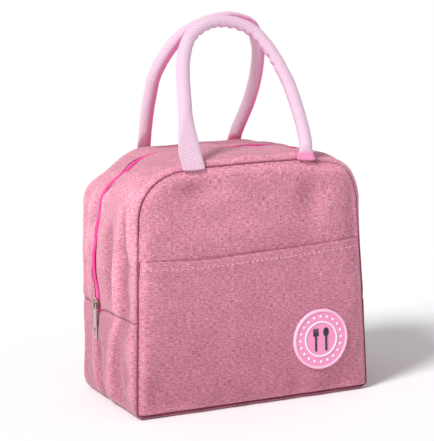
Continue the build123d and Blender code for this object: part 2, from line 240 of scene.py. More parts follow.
def outline_normal(x, z):
    """Outward direction of the gusset at a place on the outline, across the bag."""
    half_top = side_line(shoulder_z - shoulder_radius) - shoulder_radius
    corner_z = shoulder_z - shoulder_radius
    if z > corner_z:
        dx = abs(x) - half_top
        across = Vector((math.copysign(max(dx, 0.0), x), 0, z - corner_z))
        if dx <= 0:
            across = Vector((x * 0.06, 0, 1))
    elif z < foot_radius:
        dx = abs(x) - (foot_half - foot_radius)
        across = Vector((math.copysign(max(dx, 0.0), x), 0, z - foot_radius))
    else:
        across = Vector((math.copysign(1, x), 0, 0))
    return across.normalized()


def edge_gap(x, z):
    """How far inside the outline a place on the front or back panel is."""
    corner_x = side_line(shoulder_z - shoulder_radius) - shoulder_radius
    corner_z = shoulder_z - shoulder_radius
    top = shoulder_z + arch * (1 - min(1.0, abs(x) / corner_x) ** 2)
    gap = min(side_line(z) - abs(x), z, top - z)
    if z > corner_z and abs(x) > corner_x:
        gap = min(gap, shoulder_radius - math.hypot(abs(x) - corner_x, z - corner_z))
    return max(gap, 0.0)


# folds of the left side, each from and to (y, z), with its width and how far it stands out
left_folds = [
    ((-40, 184), (-31, 140), 4.5, 2.2),
    ((-49, 184), (-48, 128), 4, 1.8),
    ((-29, 126), (-26, 68), 5, 2.4),
    ((-26, 72), (-4, 6), 5, 2.4),
    ((-40, 174), (-40, 76), 5, -2.6),
    ((-38, 78), (-20, 10), 5.5, -2.2),
    ((8, 52), (10, 4), 4, -2.2),
    ((19, 62), (21, 8), 4.5, 1.8),
    ((1, 182), (28, 134), 4.5, 2.2),
    ((9, 186), (37, 138), 4.5, -2.2),
    ((32, 178), (44, 116), 6, 2.0),
    ((-13, 156), (-18, 92), 5.5, -2.2),
    ((34, 110), (33, 84), 5, 1.6),
    ((-52, 70), (-50, 14), 4.5, 1.4),
]
# dents and swells of the front, each at (x, z), with its width and height and how far it stands out
front_dents = [
    ((-52, 184), (11, 7), -1.8),
    ((-30, 176), (14, 9), 1.3),
    ((48, 172), (10, 14), -1.5),
    ((62, 160), (9, 16), 1.2),
    ((88, 150), (7, 30), -1.2),
    ((-20, 150), (30, 9), 0.7),
    ((30, 140), (26, 7), -0.7),
]


def fold_height(p, region):
    """How far the folds and dents lift the cloth at a place, in millimetres."""
    if region == FRONT:
        return sum(out * bell(p.x / MM, x, w) * bell(p.z / MM, z, h) for (x, z), (w, h), out in front_dents)
    if region == GUSSET and abs(p.x) > 80 * MM:
        here = Vector((p.x, p.y if p.x < 0 else 8 * MM - p.y, p.z)) / MM
        share = 1 if p.x < 0 else 0.6
        return share * sum(out * crease(here, start, end, width) for start, end, width, out in left_folds)
    return 0.0


corner_top = 172 * MM


def zip_wander(z):
    """How far the left end of the zip strays backwards at a height."""
    return 5 * MM * bell(z, 112 * MM, 17 * MM) - 13 * MM * step(137 * MM, 164 * MM, z)


def zip_gap(x, z):
    """How far the rear cloth's edge is moved back from its pattern, where less than 0 closes it over the zip."""
    if x < 0 and z < corner_top:
        return 4.5 * MM * (1 - step(98 * MM, 122 * MM, z)) - 2.4 * MM * step(112 * MM, 128 * MM, z)
    return -2.4 * MM + 6.5 * MM * bell(x, -70 * MM, 14 * MM) + 6.5 * MM * bell(x, 30 * MM, 18 * MM)


def sewn(p, region):
    """Where a point of the flat-sided shell lies on the sewn bag, before its cloth has settled."""
    x, y, z = p
    side = step(0.55, 0.9, abs(x) / side_line(z))
    girth = outline_normal(x, z)
    s = (y - front_y) / (zip_y - front_y) if y < zip_y else (back_y - y) / (back_y - zip_y)
    crown = math.sin(max(s, 0.0) * math.pi / 2) ** 0.9
    height = z / shoulder_z
    place = Vector((x * (1 + 0.085 * crown * height), y, z * (1 + 0.017 * crown * height)))
    dent = noise.noise(Vector((x * 14, y * 14 + 3, z * 11)))
    ripple = noise.noise(Vector((x * 34, y * 34, z * 12 + 7)))
    if region == FRONT or region == BACK:
        outward = -1 if region == FRONT else 1
        edge = edge_gap(x, z)
        fill = step(0, 45 * MM, edge)
        place.y += outward * (1.6 * MM * fill + 1.3 * MM * dent * fill + 0.5 * MM * ripple * step(0, 20 * MM, edge))
        place.y -= outward * 1.7 * MM * math.exp(-edge / (1.9 * MM))
        place.y += outward * fold_height(p, region) * MM
    else:
        seam_gap = min(y - front_y, back_y - y)
        seam_roll = 2.1 * MM * bell(seam_gap, 5.0 * MM, 3.4 * MM) * step(2 * MM, 14 * MM, z)
        place += girth * (seam_roll - 1.2 * MM * math.exp(-seam_gap / (1.0 * MM)) * step(2 * MM, 8 * MM, z))
        soft = step(0, 16 * MM, seam_gap) * step(4 * MM, 25 * MM, z)
        near_zip = step(0, 9 * MM, abs(y - zip_y)) if z > fold_z else 1.0
        place += girth * soft * near_zip * (1.5 * MM * dent + 0.8 * MM * ripple)
        if z > seam_z:
            behind = step(0.5 * MM, cloth_to_zip, y - zip_y) * (1 - step(cloth_to_zip, 20 * MM, y - zip_y))
            place.y += zip_gap(x, z) * behind
            drawn_back = 1.8 * MM * (x < 0) * (1 - step(110 * MM, 128 * MM, z)) + 1.6 * MM * bell(x, -72 * MM, 12 * MM)
            place.y += (0.8 * MM - drawn_back) * bell(y - zip_y, -cloth_to_zip, 3 * MM)
        if z > shoulder_z - shoulder_radius or abs(x) > foot_half - 12 * MM:
            place.y += zip_wander(z) * side * step(-0.1, 0.9, s) * (1 if x < 0 else -0.4) * step(70 * MM, 90 * MM, z)
        over_seam = 0.3 + 0.7 * step(0, 10 * MM, abs(z - seam_z))
        place += girth * fold_height(p, region) * MM * near_zip * over_seam * step(0, 7 * MM, seam_gap)
        if x < 0:
            rise = step(94 * MM, 104 * MM, z) * (1 - step(120 * MM, 136 * MM, z))
            place += girth * 1.7 * MM * bell(y, zip_y + 1.5 * MM, 4.5 * MM) * rise
    if z < 6 * MM:
        seam_gap = min(y - front_y, back_y - y)
        low = 1 - step(0, 6 * MM, z)
        outward = -1 if y < 0 else 1
        if region == GUSSET:
            place.z += 2.6 * MM * math.exp(-((seam_gap / (1.6 * MM)) ** 2)) * low
            place.y += outward * 1.1 * MM * bell(seam_gap, 2.4 * MM, 1.8 * MM) * low
        else:
            place.z += 2.6 * MM * low
    if abs(x) > foot_half - 15 * MM:
        place.x -= math.copysign(0.8 * MM * bell(z, seam_z, 1.3 * MM), x) * (region == GUSSET)
        place.z -= 4 * MM * bell(y, zip_y + 2 * MM, 11 * MM) * bell(z, seam_z, 7 * MM) * (region == GUSSET)
    corner_x = side_line(shoulder_z - shoulder_radius) - shoulder_radius
    if x > corner_x and z > shoulder_z - shoulder_radius:
        turn = math.atan2(z - shoulder_z + shoulder_radius, x - corner_x)
        place += Vector((0.75, 0, 0.66)) * 4.5 * MM * bell(turn, 0.9, 0.45)
    if x < 0 and z > shoulder_z - 60 * MM:
        turn = math.atan2(z - (shoulder_z - shoulder_radius), abs(x) - (foot_half - shoulder_radius) + 8 * MM)
        sag = bell(turn, 0.95, 0.55) * step(front_y + 30 * MM, back_y - 10 * MM, y)
        place += Vector((0.45, 0, -0.9)) * 9 * MM * sag
    if region == GUSSET and z > shoulder_z - 4 * MM:
        place.z += 2.2 * MM * bell(y - front_y, 13 * MM, 10 * MM) * step(-55 * MM, -30 * MM, x) * (1 - step(40 * MM, 62 * MM, x))
        place.z -= 1.6 * MM * bell(y - zip_y, -5 * MM, 9 * MM)
    droop = step(30 * MM, 95 * MM, x) * step(145 * MM, 195 * MM, z)
    place.z -= 4.5 * MM * droop
    place.x -= 1.5 * MM * step(60 * MM, 100 * MM, x) * step(60 * MM, 180 * MM, z)
    place.z += 1.2 * MM * bell(abs(x), 48 * MM, 14 * MM) * step(190 * MM, 198 * MM, z)
    return place


# The cloth settles over its padding: a coarse copy of the shell is filled with a little air, held at its seams,
# and what it moves by is what the fine shell's points move by too.
settle_frames, settle_most, slack = 18, 3.2 * MM, -0.035
coarse_columns = mirrored([0] + between(0, 0.93, 13) + [0.975, 1])
coarse_lines = [12 * MM] + between(12 * MM, seam_z, 9) + between(seam_z, 158 * MM, 11)
coarse_rows = rows_of_outline(coarse_lines, (-90, -45, 0), (10, 24, 38, 52, 66, 78, 90))
coarse_stations = [front_y, front_y + 4 * MM] + between(front_y + 4 * MM, zip_y - 4 * MM, 9) + [zip_y, zip_y + 4 * MM]
coarse_stations += between(zip_y + 4 * MM, back_y - 4 * MM, 5) + [back_y]


def settle():
    """What each point of the coarse shell moves by, in a search tree for each region, keyed by its flat place."""
    coarse = build_shell(coarse_columns, coarse_rows, coarse_stations)
    region = coarse.faces.layers.int["region"]
    coarse.verts.ensure_lookup_table()
    kinds = [{face[region] for face in v.link_faces} for v in coarse.verts]
    flat = [v.co.copy() for v in coarse.verts]
    for vert, kind in zip(coarse.verts, kinds):
        vert.co = sewn(vert.co, GUSSET if len(kind) > 1 else next(iter(kind)))
    mesh = bpy.data.meshes.new("settling")
    coarse.to_mesh(mesh)
    coarse.free()
    obj = bpy.data.objects.new("settling", mesh)
    scene.collection.objects.link(obj)
    held = obj.vertex_groups.new(name="held")
    for n, (p, kind) in enumerate(zip(flat, kinds)):
        at_zip = p.z > seam_z - MM and abs(p.y - zip_y) < 5 * MM
        at_side_seam = kind == {GUSSET} and abs(p.z - seam_z) < MM
        if len(kind) > 1 or at_zip or at_side_seam or p.z < 4 * MM:
            held.add([n], 1.0, "REPLACE")
    cloth_sim = obj.modifiers.new("cloth", "CLOTH")
    cloth_sim.settings.vertex_group_mass = "held"
    cloth_sim.settings.quality = 6
    cloth_sim.settings.mass = 0.3
    cloth_sim.settings.bending_stiffness = 0.4
    cloth_sim.settings.shrink_min = slack
    cloth_sim.settings.use_pressure = True
    cloth_sim.settings.uniform_pressure_force = 4
    cloth_sim.settings.effector_weights.gravity = 0
    cloth_sim.point_cache.frame_end = settle_frames
    start = [v.co.copy() for v in mesh.vertices]
    for step_frame in range(1, settle_frames + 1):
        scene.frame_set(step_frame)
    solved = obj.evaluated_get(bpy.context.evaluated_depsgraph_get()).data
    trees = {}
    for kind in (FRONT, GUSSET, BACK):
        members = [n for n, own in enumerate(kinds) if kind in own]
        tree = kdtree.KDTree(len(members))
        moves = []
        for place, n in enumerate(members):
            move = solved.vertices[n].co - start[n]
            if move.length > settle_most:
                move *= settle_most / move.length
            tree.insert(flat[n], place)
            moves.append(move)
        tree.balance()
        trees[kind] = tree, moves
    bpy.data.objects.remove(obj)
    scene.frame_set(1)
    return trees


settled = settle()


def drape(p, region):
    """Where a point of the flat-sided shell lies on the finished bag."""
    tree, moves = settled[region]
    if region == GUSSET:
        free = step(0, 9 * MM, min(p.y - front_y, back_y - p.y)) * step(2 * MM, 14 * MM, p.z)
        free *= step(0, 8 * MM, abs(p.z - seam_z)) if p.z > seam_z else step(0, 16 * MM, seam_z - p.z)
    else:
        free = step(0, 10 * MM, edge_gap(p.x, p.z))
    total, weights = Vector(), 0.0
    for _, n, gap in tree.find_range(p, 15 * MM):
        weight = math.exp(-((gap / (5 * MM)) ** 2))
        total += moves[n] * weight
        weights += weight
    return sewn(p, region) + total * free / weights


def draped(shell):
    """Drapes a shell, and keeps its flat pattern as UVs, its nearness to a seam as painted shade, and painted light and
    shade over the folds.
    """
    region = shell.faces.layers.int["region"]
    pattern = shell.loops.layers.uv.new("pattern")
    painted_seam_shade = shell.verts.layers.float.new("painted_seam_shade")
    flat = shell.verts.layers.float_vector.new("flat")
    fold = shell.verts.layers.float.new("fold")
    for face in shell.faces:
        for loop in face.loops:
            x, y, z = loop.vert.co
            if face[region] == GUSSET:
                run = girth[(round(abs(x), 5), round(z, 5))]
                loop[pattern].uv = (y, run if face.calc_center_median().x > 0 else girth_length - run)
            else:
                loop[pattern].uv = (x, z)
    places = {}
    for vert in shell.verts:
        kinds = {face[region] for face in vert.link_faces}
        kind = kinds.pop() if len(kinds) == 1 else GUSSET
        x, y, z = vert.co
        vert[flat] = vert.co
        gap = min(y - front_y, back_y - y) if kind == GUSSET else 9.0
        if kind != GUSSET:
            gap = edge_gap(x, z) + 0.15 * MM
        # painted shade: the cloth darkens towards maroon in each seam's groove, fading within about a millimetre
        vert[painted_seam_shade] = math.exp(-((gap / (0.8 * MM)) ** 2))
        # painted shade in the grooves of the side seams and of the seam with the base
        if kind == GUSSET and abs(x) > foot_half - 15 * MM:
            vert[painted_seam_shade] = max(vert[painted_seam_shade], 0.5 * bell(z, seam_z, 0.6 * MM), 0.7 * bell(z, 3.6 * MM, 0.9 * MM))
        # painted shadow: a dark line along the rear cloth's edge at the zip, where that edge overhangs the zip
        if kind == GUSSET and z > seam_z:
            vert[painted_seam_shade] = max(vert[painted_seam_shade], 0.9 * bell(y - zip_y, cloth_to_zip, 0.5 * MM))
        # painted light and shade: fold lightens the ridges of the folds and swells, darkens their hollows, and paints a
        # highlight on the rolled cloth about 5 mm in from each seam
        vert[fold] = 0.42 + 0.19 * fold_height(vert.co, kind) + 0.22 * bell(gap, 5 * MM, 3.0 * MM)
        # painted shade: the cloth darkens towards the bottom of the bag
        vert[fold] -= 0.22 * (1 - step(10 * MM, 165 * MM, z))
        # painted light and shade on the sides: paler towards the top, darker near the bottom
        if kind == GUSSET and abs(x) > 80 * MM:
            vert[fold] += 0.30 * step(30 * MM, 150 * MM, z) - 0.16
        places[vert] = drape(vert.co, kind)
    for vert, place in places.items():
        vert.co = place
    return shell


outline = [(c * rows[0][0], rows[0][1]) for c in columns if c >= 0] + rows[1:]
outline += [(c * rows[-1][0], rows[-1][1] + arch * (1 - c * c)) for c in reversed(columns) if 0 <= c < 1]
girth, girth_length = {}, 0.0
for near, far in zip(outline[:1] + outline, outline):
    girth_length += math.dist(near, far)
    girth[(round(far[0], 5), round(far[1], 5))] = girth_length
girth_length *= 2
shell = draped(build_shell(columns, rows, stations))
shell.normal_update()

# ---------------------------------------------------------------------------------------------------------------
# Cloth: a plain weave of mottled pink yarns. The yarns vary along their length, so pale, rose and grey streaks
# run both ways through the cloth. Painted shade darkens every seam, and painted light and shade follow the folds.
# ---------------------------------------------------------------------------------------------------------------


def cloth_material(name, pale, rose, dark):
    """The mottled weave in three yarn colours, on the pattern UVs, which are in metres, with painted light and shade
    laid over it.
    """
    material = bpy.data.materials.new(name)
    material.use_nodes = True
    nodes, links = material.node_tree.nodes, material.node_tree.links
    shader = nodes["Principled BSDF"]
    shader.inputs["Roughness"].default_value = 0.92
    shader.inputs["Sheen Weight"].default_value = 0.25
    shader.inputs["Sheen Roughness"].default_value = 0.5
    shader.inputs["Specular IOR Level"].default_value = 0.15
    uv = nodes.new("ShaderNodeUVMap")
    uv.uv_map = "pattern"

    def streaks(across, along, turned, seed):
        mapping = nodes.new("ShaderNodeMapping")
        scale = (1 / along, 1 / across, 1) if turned else (1 / across, 1 / along, 1)
        mapping.inputs["Scale"].default_value = scale
        mapping.inputs["Location"].default_value = (seed, seed * 2, 0)
        texture = nodes.new("ShaderNodeTexNoise")
        texture.noise_dimensions = "2D"
        texture.inputs["Scale"].default_value = 1
        texture.inputs["Detail"].default_value = 2
        links.new(uv.outputs["UV"], mapping.inputs["Vector"])
        links.new(mapping.outputs["Vector"], texture.inputs["Vector"])
        return texture.outputs["Fac"]

    def ramp(value, low, high, a, b):
        stops = nodes.new("ShaderNodeValToRGB")
        stops.color_ramp.elements[0].position = low
        stops.color_ramp.elements[1].position = high
        stops.color_ramp.elements[0].color = (*a, 1)
        stops.color_ramp.elements[1].color = (*b, 1)
        links.new(value, stops.inputs["Fac"])
        return stops.outputs["Color"]

    def mix(factor, a, b, kind="MIX"):
        node = nodes.new("ShaderNodeMix")
        node.data_type = "RGBA"
        node.blend_type = kind
        if isinstance(factor, float):
            node.inputs["Factor"].default_value = factor
        else:
            links.new(factor, node.inputs["Factor"])
        links.new(a, node.inputs["A"])
        if isinstance(b, tuple):
            node.inputs["B"].default_value = (*b, 1)
        else:
            links.new(b, node.inputs["B"])
        return node.outputs["Result"]

    weft = ramp(streaks(0.8 * MM, 3.8 * MM, True, 3.1), 0.30, 0.70, rose, pale)
    warp = ramp(streaks(0.8 * MM, 4.2 * MM, False, 8.4), 0.30, 0.70, rose, pale)
    woven = mix(0.37, weft, warp)
    flecks = ramp(streaks(0.5 * MM, 1.7 * MM, True, 5.9), 0.60, 0.78, (0, 0, 0), (1, 1, 1))
    woven = mix(flecks, woven, dark)
    cloudy = ramp(streaks(16 * MM, 22 * MM, True, 1.7), 0.35, 0.65, (0.93, 0.91, 0.92), (1, 1, 1))
    woven = mix(1.0, woven, cloudy, "MULTIPLY")
    # painted light and shade: the fold attribute scales the colour from about 0.66 where shaded to about 1.3 where lit
    fold = nodes.new("ShaderNodeAttribute")
    fold.attribute_name = "fold"
    woven = mix(1.0, woven, ramp(fold.outputs["Fac"], 0.1, 0.9, (0.66, 0.62, 0.64), (1.28, 1.36, 1.33)), "MULTIPLY")
    # painted shade: mixes the cloth towards dark maroon in the seam grooves and under the rear cloth's edge at the zip
    painted_seam_shade = nodes.new("ShaderNodeAttribute")
    painted_seam_shade.attribute_name = "painted_seam_shade"
    woven = mix(painted_seam_shade.outputs["Fac"], woven, (0.20, 0.03, 0.07))
    links.new(woven, shader.inputs["Base Color"])

    yarns = nodes.new("ShaderNodeTexWave")
    yarns.wave_type, yarns.bands_direction = "BANDS", "X"
    yarns.inputs["Scale"].default_value = 1 / (0.55 * MM) / 20
    cross = nodes.new("ShaderNodeTexWave")
    cross.wave_type, cross.bands_direction = "BANDS", "Y"
    cross.inputs["Scale"].default_value = 1 / (0.55 * MM) / 20
    links.new(uv.outputs["UV"], yarns.inputs["Vector"])
    links.new(uv.outputs["UV"], cross.inputs["Vector"])
    relief = nodes.new("ShaderNodeMath")
    relief.operation = "MULTIPLY"
    links.new(yarns.outputs["Fac"], relief.inputs[0])
    links.new(cross.outputs["Fac"], relief.inputs[1])
    slub = nodes.new("ShaderNodeMath")
    slub.operation = "ADD"
    links.new(relief.outputs[0], slub.inputs[0])
    links.new(streaks(0.8 * MM, 4 * MM, True, 2.2), slub.inputs[1])
    bump = nodes.new("ShaderNodeBump")
    bump.inputs["Strength"].default_value = 0.55
    bump.inputs["Distance"].default_value = 0.25 * MM
    links.new(slub.outputs[0], bump.inputs["Height"])
    links.new(bump.outputs["Normal"], shader.inputs["Normal"])
    return material


cloth = cloth_material("mottled_pink_cloth", (0.92, 0.445, 0.535), (0.525, 0.11, 0.21), (0.38, 0.16, 0.24))


def plain_material(name, colour, roughness, metallic=0.0, grain=0.0, grain_size=1.0, mottle=None):
    """A material with a fine grain in Object coordinates: grain is the bump's height, mottle a second colour."""
    material = bpy.data.materials.new(name)
    material.use_nodes = True
    nodes, links = material.node_tree.nodes, material.node_tree.links
    shader = nodes["Principled BSDF"]
    shader.inputs["Base Color"].default_value = (*colour, 1)
    shader.inputs["Roughness"].default_value = roughness
    shader.inputs["Metallic"].default_value = metallic
    place = nodes.new("ShaderNodeTexCoord")
    texture = nodes.new("ShaderNodeTexNoise")
    texture.inputs["Scale"].default_value = 1 / (grain_size * MM)
    texture.inputs["Detail"].default_value = 4
    links.new(place.outputs["Object"], texture.inputs["Vector"])
    if mottle:
        stops = nodes.new("ShaderNodeValToRGB")
        stops.color_ramp.elements[0].position, stops.color_ramp.elements[1].position = 0.38, 0.62
        stops.color_ramp.elements[0].color, stops.color_ramp.elements[1].color = (*colour, 1), (*mottle, 1)
        links.new(texture.outputs["Fac"], stops.inputs["Fac"])
        links.new(stops.outputs["Color"], shader.inputs["Base Color"])
    bump = nodes.new("ShaderNodeBump")
    bump.inputs["Strength"].default_value = 0.6
    bump.inputs["Distance"].default_value = grain * MM
    links.new(texture.outputs["Fac"], bump.inputs["Height"])
    links.new(bump.outputs["Normal"], shader.inputs["Normal"])
    return material


# the padding is closed-cell foam, and the lining a silvery film that has crinkled
foam = plain_material("white_foam", (0.86, 0.86, 0.87), 0.9, grain=0.3, grain_size=1.6)
foil = plain_material("silver_film", (0.80, 0.81, 0.83), 0.32, metallic=0.9, grain=1.2, grain_size=9, mottle=(0.70, 0.71, 0.74))


def cut_piece(name, keep, depth, thickness, material):
    """A layer of the wall: the shell's faces that keep() picks, taken in by depth(flat place) and given a wall."""
    piece = shell.copy()
    region = piece.faces.layers.int["region"]
    flat = piece.verts.layers.float_vector["flat"]
    piece.normal_update()
    moves = {v: v.normal * (-depth(v[flat]) * min(v.calc_shell_factor(), 1.6)) for v in piece.verts}
    for vert, move in moves.items():
        vert.co += move
    spare = []
    for face in piece.faces:
        centre = sum((v[flat] for v in face.verts), Vector()) / len(face.verts)
        if not keep(face[region], centre):
            spare.append(face)
    bmesh.ops.delete(piece, geom=spare, context="FACES")
    bmesh.ops.recalc_face_normals(piece, faces=piece.faces)
    mesh = bpy.data.meshes.new(name)
    piece.to_mesh(mesh)
    piece.free()
    mesh.materials.append(material)
    mesh.shade_smooth()
    obj = bpy.data.objects.new(name, mesh)
    scene.collection.objects.link(obj)
    wall = obj.modifiers.new("wall", "SOLIDIFY")
    wall.thickness = thickness
    wall.offset = -1
    wall.use_even_offset = False
    return obj


def finish_piece(obj):
    """Applies a piece's modifiers."""
    with bpy.context.temp_override(object=obj, active_object=obj, selected_editable_objects=[obj]):
        for modifier in list(obj.modifiers):
            bpy.ops.object.modifier_apply(modifier=modifier.name)


seam_allowance = 3.4 * MM
fold_start = Vector((0, front_y, fold_z))
fold_end = Vector((0, front_y, fold_z + 85 * MM))


def in_allowance(region, c):
    """Whether a place is in a seam's allowance, where only cloth is sewn and the padding stops short."""
    gap = edge_gap(c.x, c.z) if region != GUSSET else min(c.y - front_y, back_y - c.y)
    return gap < seam_allowance or (c.z > seam_z and region == GUSSET and abs(c.y - zip_y) < cloth_to_zip + seam_allowance)


def is_front(region, c):
    return region == FRONT


def is_back(region, c):
    return region == BACK


def is_base(region, c):
    return region == GUSSET and c.z < 3.5 * MM and abs(c.x) < foot_half - 3 * MM


def is_left(region, c):
    return region == GUSSET and c.x < 0 and c.z < seam_z and not is_base(region, c)


def is_right(region, c):
    return region == GUSSET and c.x > 0 and c.z < seam_z and not is_base(region, c)


def is_front_strip(region, c):
    return region == GUSSET and c.z > seam_z and c.y < zip_y - cloth_to_zip


def is_rear_strip(region, c):
    return region == GUSSET and c.z > seam_z and c.y > zip_y + cloth_to_zip


# name, its faces, the half it turns with, its CAD nodes as cloth, foam and foil, and the cloth's cut size
half_nodes = ("{}_panel_lower", "{}_panel_upper"), ("{}_foam_lower", "{}_foam_upper"), ("{}_lining_lower", "{}_lining_upper")
side_nodes = ("{}_panel",), ("{}_foam",), ("{}_lining",)
strip_nodes = ("{}",), ("{}_foam",), ("{}_lining",)
walls = [
    ("front", is_front, "front_half", half_nodes, (0.210, 0.201)),
    ("back", is_back, "rear_half", half_nodes, (0.210, 0.201)),
    ("base", is_base, None, side_nodes, (0.120, 0.206)),
    ("left_side", is_left, None, side_nodes, (0.120, 0.080)),
    ("right_side", is_right, None, side_nodes, (0.120, 0.080)),
    ("front_zip_gusset", is_front_strip, "front_half", strip_nodes, (0.074, 0.410)),
    ("rear_zip_gusset", is_rear_strip, "rear_half", strip_nodes, (0.043, 0.410)),
]


def hang(piece, half, *nodes):
    """A wall piece turns with its half of the bag above the side seam, and stays put below it."""
    if half:
        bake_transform(piece, "lower_body", half, fold_start, fold_end)
    else:
        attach(piece, "lower_body")
    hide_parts(*nodes)


def area_of(mesh):
    """The area of a piece's flat pattern."""
    uv = mesh.uv_layers["pattern"].data
    return sum(abs(geometry.area_tri(*(uv[i].uv for i in tri.loops))) for tri in mesh.loop_triangles)


for name, keep, half, layers, cut in walls:
    for layer, depth, thickness, material, slot_name in (
        ("cloth", 0.0, 0.8 * MM, cloth, "cloth"),
        ("padding", 0.8 * MM, 3.0 * MM, foam, "foam"),
        ("foil", 3.8 * MM, 0.4 * MM, foil, "foil"),
    ):
        inside = layer != "cloth"

        def chosen(region, c):
            return keep(region, c) and not (inside and in_allowance(region, c))

        piece = cut_piece(f"{name}_{layer}", chosen, lambda flat: depth, thickness, material)
        flat_area = area_of(piece.data)
        finish_piece(piece)
        hang(piece, half, *(node.format(name) for node in layers[("cloth", "padding", "foil").index(layer)]))
# ---------------------------------------------------------------------------------------------------------------
# Bindings: narrow tapes over the raw edges of the front and back seams, inside the bag.
# ---------------------------------------------------------------------------------------------------------------
binding_tape = plain_material("pink_binding", (0.62, 0.16, 0.30), 0.85, grain=0.25, grain_size=0.7, mottle=(0.72, 0.26, 0.40))
binding_width = 12 * MM
bindings = [
    ("front_binding", "front_half", lambda region, c: region == GUSSET and 3 * MM < c.y - front_y < binding_width),
    ("back_binding", "rear_half", lambda region, c: region == GUSSET and 3 * MM < back_y - c.y < binding_width),
]
for name, half, keep in bindings:
    binding = cut_piece(f"{name}_tape", keep, lambda flat: 4.5 * MM, 0.8 * MM, binding_tape)
    finish_piece(binding)
    hang(binding, half, f"{name}_lower", f"{name}_upper")

# ---------------------------------------------------------------------------------------------------------------
# Pocket: a second layer of cloth over the front, caught in the side and bottom seams. Its top edge is turned
# over and stitched down in a paler thread, and stands a little away from the bag.
# ---------------------------------------------------------------------------------------------------------------
pocket_out = 1.5 * MM


def pocket_lift(flat):
    """How far the pocket's cloth stands out from the front, at a place on the flat front."""
    x, _, z = flat
    out = pocket_out * step(0, 7 * MM, edge_gap(x, z)) + 0.25 * MM
    out += 1.9 * MM * step(pocket_top - 26 * MM, pocket_top, z) * bell(x, 6 * MM, 62 * MM)
    return out + 0.55 * MM * step(pocket_top - hem - 0.5 * MM, pocket_top - hem + 1.5 * MM, z)


def pocket_edge_rise(x, z):
    """How far the hem's edge rises or dips along the pocket."""
    line = 0.9 * MM * bell(x, -97 * MM, 25 * MM) - 1.6 * MM * bell(x, -42 * MM, 34 * MM) + 2.2 * MM * step(10 * MM, 98 * MM, x)
    return line * step(pocket_top - 40 * MM, pocket_top, z)


def is_pocket(region, c):
    return region == FRONT and c.z < pocket_top


pocket = cut_piece("pocket", is_pocket, lambda flat: -pocket_lift(flat), 0.8 * MM, cloth)
pocket_area = area_of(pocket.data)
for vert in pocket.data.vertices:
    vert.co.z += pocket_edge_rise(vert.co.x, vert.co.z)
roll = pocket.modifiers.new("turned_edge", "BEVEL")
roll.width, roll.segments, roll.limit_method = 0.3 * MM, 2, "ANGLE"
finish_piece(pocket)
hang(pocket, "front_half", "pocket_lower", "pocket_upper")


def on_pocket(x, z, out):
    """A place out in front of the pocket's cloth, from its place on the flat front."""
    here = drape(Vector((x, front_y, z)), FRONT)
    across = drape(Vector((x + MM, front_y, z)), FRONT) - here
    rise = drape(Vector((x, front_y, z + MM)), FRONT) - here
    here += across.cross(rise).normalized() * (pocket_lift((x, front_y, z)) + out)
    here.z += pocket_edge_rise(x, z)
    return here


def new_piece(name, bm, material, smooth=True):
    """An object from a finished bmesh."""
    bmesh.ops.recalc_face_normals(bm, faces=bm.faces)
    mesh = bpy.data.meshes.new(name)
    bm.to_mesh(mesh)
    bm.free()
    mesh.materials.append(material)
    if smooth:
        mesh.shade_smooth()
    obj = bpy.data.objects.new(name, mesh)
    scene.collection.objects.link(obj)
    return obj


thread = plain_material("pale_thread", (0.88, 0.56, 0.66), 0.7, grain=0.1, grain_size=0.3, mottle=(0.80, 0.46, 0.57))
stitch_pitch, stitch_length, stitch_size = 4.3 * MM, 3.0 * MM, 0.42 * MM
stitch_z = pocket_top - 6.6 * MM
half_row = side_line(stitch_z) - 2.5 * MM
stitches = bmesh.new()
random.seed(7)
for i in range(int(2 * half_row / stitch_pitch) + 1):
    x = -half_row + i * stitch_pitch
    here, there = on_pocket(x, stitch_z, 0.05 * MM), on_pocket(x + MM, stitch_z, 0.05 * MM)
    turn = Matrix.Rotation(random.uniform(-0.05, 0.05), 4, "Y")
    lie = (there - here).to_track_quat("X", "Z").to_matrix().to_4x4() @ turn
    size = Matrix.Diagonal((stitch_length / 2, stitch_size * 0.8, stitch_size * random.uniform(0.85, 1.1), 1))
    bmesh.ops.create_icosphere(stitches, subdivisions=1, radius=1, matrix=Matrix.Translation(here) @ lie @ size)
stitching = new_piece("pocket_stitching", stitches, thread)
hang(stitching, "front_half")

# ---------------------------------------------------------------------------------------------------------------
# Zip: two hot-pink tapes sewn under the cloth's turned edges, each with a coil of nylon along its edge, and a
# stop at each end, where the mouth's two halves meet the side seams.
# ---------------------------------------------------------------------------------------------------------------
tape_width = 7 * MM
tape_pink = plain_material("hot_pink_tape", (0.90, 0.20, 0.46), 0.8, grain=0.2, grain_size=0.5, mottle=(0.94, 0.34, 0.58))
nylon_pink = plain_material("hot_pink_nylon", (0.84, 0.045, 0.30), 0.35, grain=0.05, grain_size=0.4)
coil_radius, coil_sunk, tooth_pitch = 1.3 * MM, -0.2 * MM, 1.35 * MM

line = sorted(
    (v for v in shell.verts if abs(v[shell.verts.layers.float_vector["flat"]].y - zip_y) < 0.01 * MM),
    key=lambda v: math.atan2(v.co.x, v.co.z - 60 * MM),
)
flat_of = shell.verts.layers.float_vector["flat"]
line = [v for v in line if v[flat_of].z > seam_z - 0.1 * MM]
zip_line = [v.co.copy() for v in line]
zip_out = [v.normal.copy() for v in line]


def along_line(points, outs, spacing):
    """Points and outward directions at an even spacing along a line."""
    lengths = [0.0]
    for a, b in zip(points, points[1:]):
        lengths.append(lengths[-1] + (b - a).length)
    count = int(lengths[-1] / spacing)
    places, k = [], 0
    for i in range(count + 1):
        target = lengths[-1] * i / count
        while k < len(points) - 2 and lengths[k + 1] < target:
            k += 1
        t = (target - lengths[k]) / (lengths[k + 1] - lengths[k])
        places.append((points[k].lerp(points[k + 1], t), outs[k].lerp(outs[k + 1], t).normalized(), target))
    return places


